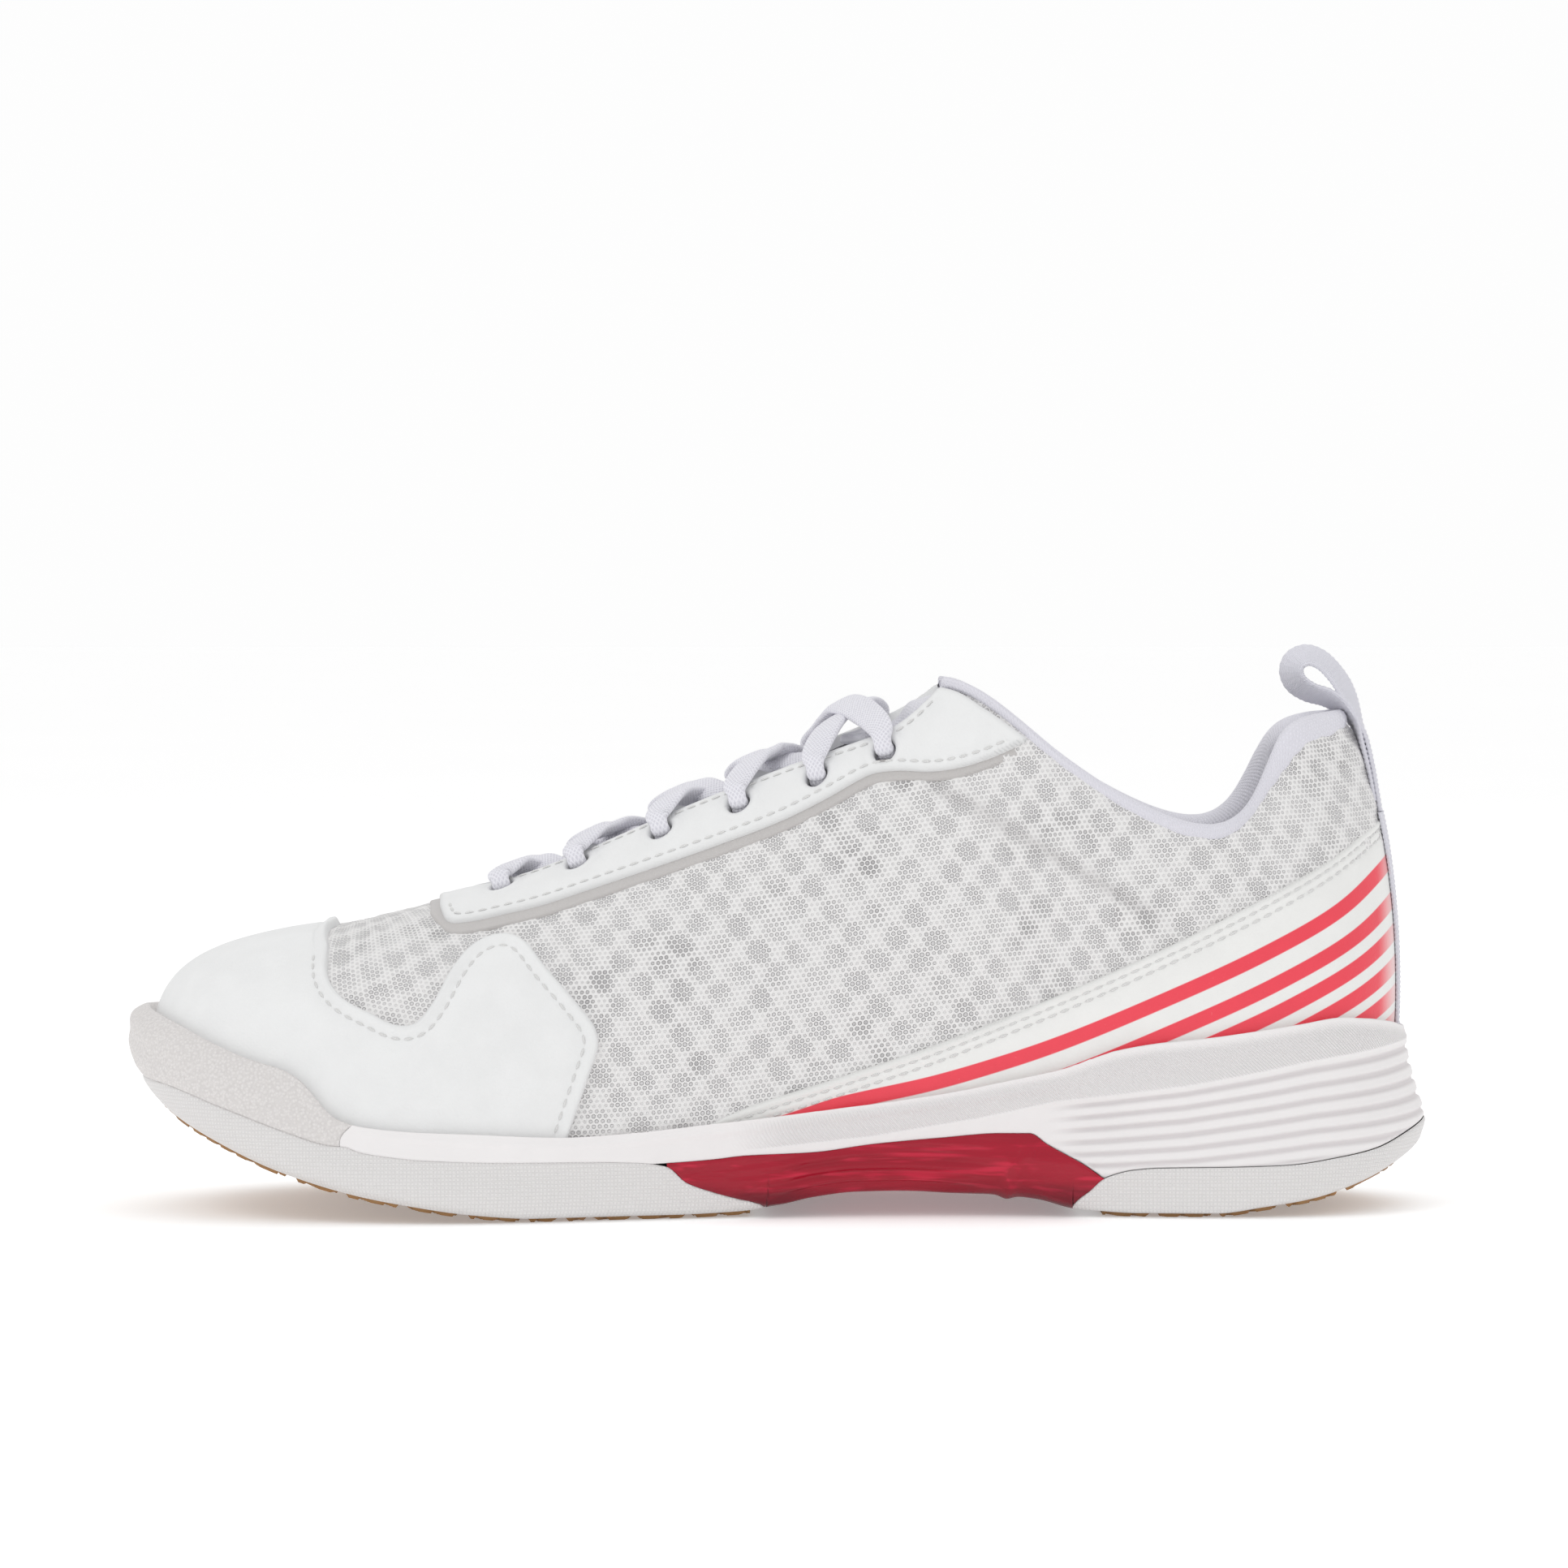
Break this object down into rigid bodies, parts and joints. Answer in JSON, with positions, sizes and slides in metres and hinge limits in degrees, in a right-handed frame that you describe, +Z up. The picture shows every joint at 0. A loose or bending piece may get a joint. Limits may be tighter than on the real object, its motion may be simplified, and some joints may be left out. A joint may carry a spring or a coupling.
{
  "type": "bowling shoe",
  "caption": "Low lace-up bowling shoe for the right foot: mesh upper with leather overlays, foam midsole, rubber cups, arch shank and gum tread.",
  "frame": {"origin": "on the floor under the middle of the sole's length and width", "axes": "+X from the toe to the heel, +Y to the outer side of the foot, +Z up"},
  "size_m": [0.298, 0.1044, 0.1272],
  "materials": {
    "midsole": "moulded foam, satin",
    "cup": "moulded, fine square texture",
    "bumper": "moulded, rough grain",
    "shank": "glossy, tinted",
    "gum": "smooth gum rubber",
    "mesh": "engineered mesh",
    "leather": "fine-grained synthetic",
    "saddle": "fine-grained synthetic with printed stripes",
    "microfibre": "brushed",
    "webbing": "ribbed woven tape",
    "lace": "flat woven",
    "lace_tip": "clear moulded",
    "cloth": "knitted lining",
    "tongue_mesh": "spacer mesh",
    "tongue_cloth": "padded knit",
    "foam": "open-cell foam",
    "insole": "knit-covered foam",
    "stiffener": "fibre board"
  },
  "bodies": {
    "shoe": {"midsole": "midsole", "forefoot_cup": "cup", "shank": "shank", "heel_cup": "cup", "toe_bumper": "bumper", "forefoot_tread": "gum", "heel_tread": "gum", "mesh_upper": "mesh", "toe_cap": "leather", "eyestay": "leather", "eyestay_underlay": "microfibre", "medial_saddle": "saddle", "lateral_saddle": "saddle", "heel_strip": "webbing", "collar_foam": "foam", "collar_lining": "cloth", "vamp_lining": "cloth", "lace": "lace", "lace_tip_medial": "lace_tip", "lace_tip_lateral": "lace_tip", "toe_puff": "stiffener", "heel_counter": "stiffener", "insole_board": "stiffener", "insole": "insole"},
    "tongue": {"tongue_shell": "tongue_mesh", "tongue_foam": "foam", "tongue_lining": "cloth", "tongue_pad": "tongue_cloth"},
    "pull_loop": {"pull_loop": "webbing"}
  },
  "joints": [
    {"name": "tongue_hinge", "type": "hinge", "parent": "shoe", "child": "tongue", "pos_m": [-0.0766, 0, 0.058], "axis": [0, 1, 0], "range_deg": [0, 8], "stiffness_Nm_per_rad": 0.3},
    {"name": "pull_loop_hinge", "type": "hinge", "parent": "shoe", "child": "pull_loop", "pos_m": [0.1379, 0, 0.0912], "axis": [0, 1, 0], "range_deg": [0, 60], "stiffness_Nm_per_rad": 0.02}
  ]
}
